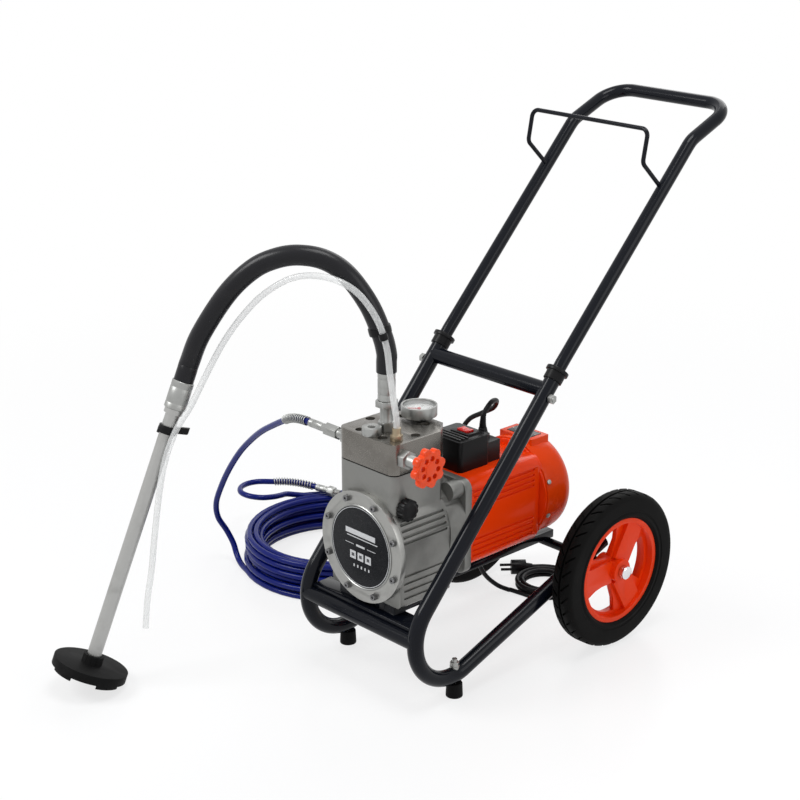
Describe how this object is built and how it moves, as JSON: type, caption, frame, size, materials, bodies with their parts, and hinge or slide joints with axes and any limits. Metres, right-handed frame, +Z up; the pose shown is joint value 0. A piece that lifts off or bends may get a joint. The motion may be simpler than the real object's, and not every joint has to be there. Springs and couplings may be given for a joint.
{
  "type": "airless paint sprayer on a two-wheeled cart",
  "caption": "Electric diaphragm paint sprayer on a tubular two-wheeled cart with pull-out handle, suction pipe, coiled paint hose and mains lead.",
  "frame": {"origin": "on the floor under the middle of the cart, hoses and lead left out", "axes": "+Z up, +Y from the pump end towards the handle, +X towards the pressure valve side"},
  "size_m": [0.824, 1.0748, 0.8445],
  "materials": {
    "black_plastic": "black plastic",
    "black_rubber": "black rubber",
    "brass_fit": "brass",
    "cast_metal": "cast aluminium",
    "chrome_nut": "polished nut",
    "core_steel": "laminated motor steel",
    "dark_steel": "dark screw steel",
    "frame_paint": "gloss black powder coat",
    "gauge_black": "black steel case",
    "hose_black": "satin black hose",
    "hose_blue": "blue paint hose",
    "lead_black": "black mains lead",
    "machined_head": "machined steel block",
    "motor_paint": "orange enamel",
    "orange_plastic": "orange plastic",
    "pipe_satin": "satin pipe",
    "red_plastic": "red plastic",
    "rim_plastic": "moulded orange plastic",
    "shaft_steel": "ground steel",
    "tube_clear": "clear return tube",
    "tyre_rubber": "black tyre rubber",
    "zinc": "bright zinc-plated steel"
  },
  "bodies": {
    "chassis": {"side_tube_right": "frame_paint", "side_tube_left": "frame_paint", "crossbars": "frame_paint", "axle": "frame_paint", "base_rails": "frame_paint", "front_bracket": "frame_paint", "motor_foot": "frame_paint", "feet": "black_rubber", "frame_bolts": "zinc", "slide_collars": "black_plastic", "axle_nuts": "chrome_nut", "pump_housing": "cast_metal", "crank_cover": "cast_metal", "cover_screws": "dark_steel", "head_gasket": "black_rubber", "diaphragm": "shaft_steel", "pump_head": "machined_head", "head_bolts": "dark_steel", "head_plug": "shaft_steel", "suction_fitting": "zinc", "return_fitting": "brass_fit", "outlet_fitting": "zinc", "gauge_case": "gauge_black", "valve_body": "zinc", "shaft_bearings": "shaft_steel", "motor_flange": "cast_metal", "motor_body": "motor_paint", "stator": "core_steel", "end_shield": "gauge_black", "fan_cover": "motor_paint", "fan_cover_screws": "zinc", "switch_box": "black_plastic", "cable_gland": "black_plastic", "suction_hose": "hose_black", "hose_ferrules": "zinc", "hose_clips": "black_plastic", "suction_pipe": "pipe_satin", "strainer": "black_plastic", "return_tube": "tube_clear", "paint_hose_run": "hose_blue", "paint_hose_coil": "hose_blue", "paint_hose_end": "hose_blue", "hose_springs": "zinc", "mains_run": "lead_black", "mains_coil": "lead_black", "mains_plug": "black_plastic"},
    "handle": {"handle_tube": "frame_paint", "hose_rack": "frame_paint"},
    "wheel_right": {"rim_right": "rim_plastic", "tyre_right": "tyre_rubber"},
    "wheel_left": {"rim_left": "rim_plastic", "tyre_left": "tyre_rubber"},
    "motor_rotor": {"crank_shaft": "shaft_steel", "rotor": "core_steel", "cooling_fan": "black_plastic"},
    "pump_piston": {"piston": "shaft_steel"},
    "pressure_valve": {"valve_handwheel": "orange_plastic"},
    "rocker": {"rocker_switch": "red_plastic"},
    "gauge_pointer": {"gauge_needle": "red_plastic"},
    "filler_cap": {"oil_cap": "black_plastic"}
  },
  "joints": [
    {"name": "handle_slide", "type": "slide", "parent": "chassis", "child": "handle", "axis": [0, 0.6639, 0.7478], "range_m": [0, 0.2]},
    {"name": "wheel_right_spin", "type": "hinge", "parent": "chassis", "child": "wheel_right", "pos_m": [0.1645, 0.0525, 0.13], "axis": [1, 0, 0], "continuous": true},
    {"name": "wheel_left_spin", "type": "hinge", "parent": "chassis", "child": "wheel_left", "pos_m": [-0.1645, 0.0525, 0.13], "axis": [1, 0, 0], "continuous": true},
    {"name": "motor_spin", "type": "hinge", "parent": "chassis", "child": "motor_rotor", "pos_m": [0, -0.15, 0.243], "axis": [0, 1, 0], "continuous": true},
    {"name": "piston_stroke", "type": "slide", "parent": "chassis", "child": "pump_piston", "axis": [0, 0, 1], "range_m": [0, 0.006]},
    {"name": "valve_turn", "type": "hinge", "parent": "chassis", "child": "pressure_valve", "pos_m": [0.1, -0.315, 0.387], "axis": [1, 0, 0], "range_deg": [0, 720]},
    {"name": "rocker_tip", "type": "hinge", "parent": "chassis", "child": "rocker", "pos_m": [0.004, -0.128, 0.364], "axis": [0, 1, 0], "range_deg": [-6, 6]},
    {"name": "pointer_turn", "type": "hinge", "parent": "chassis", "child": "gauge_pointer", "pos_m": [-0.006, -0.219, 0.425], "axis": [0, 0, 1], "range_deg": [-270, 0]},
    {"name": "cap_turn", "type": "hinge", "parent": "chassis", "child": "filler_cap", "pos_m": [0.07, -0.314, 0.307], "axis": [1, 0, 0], "range_deg": [0, 720]}
  ]
}
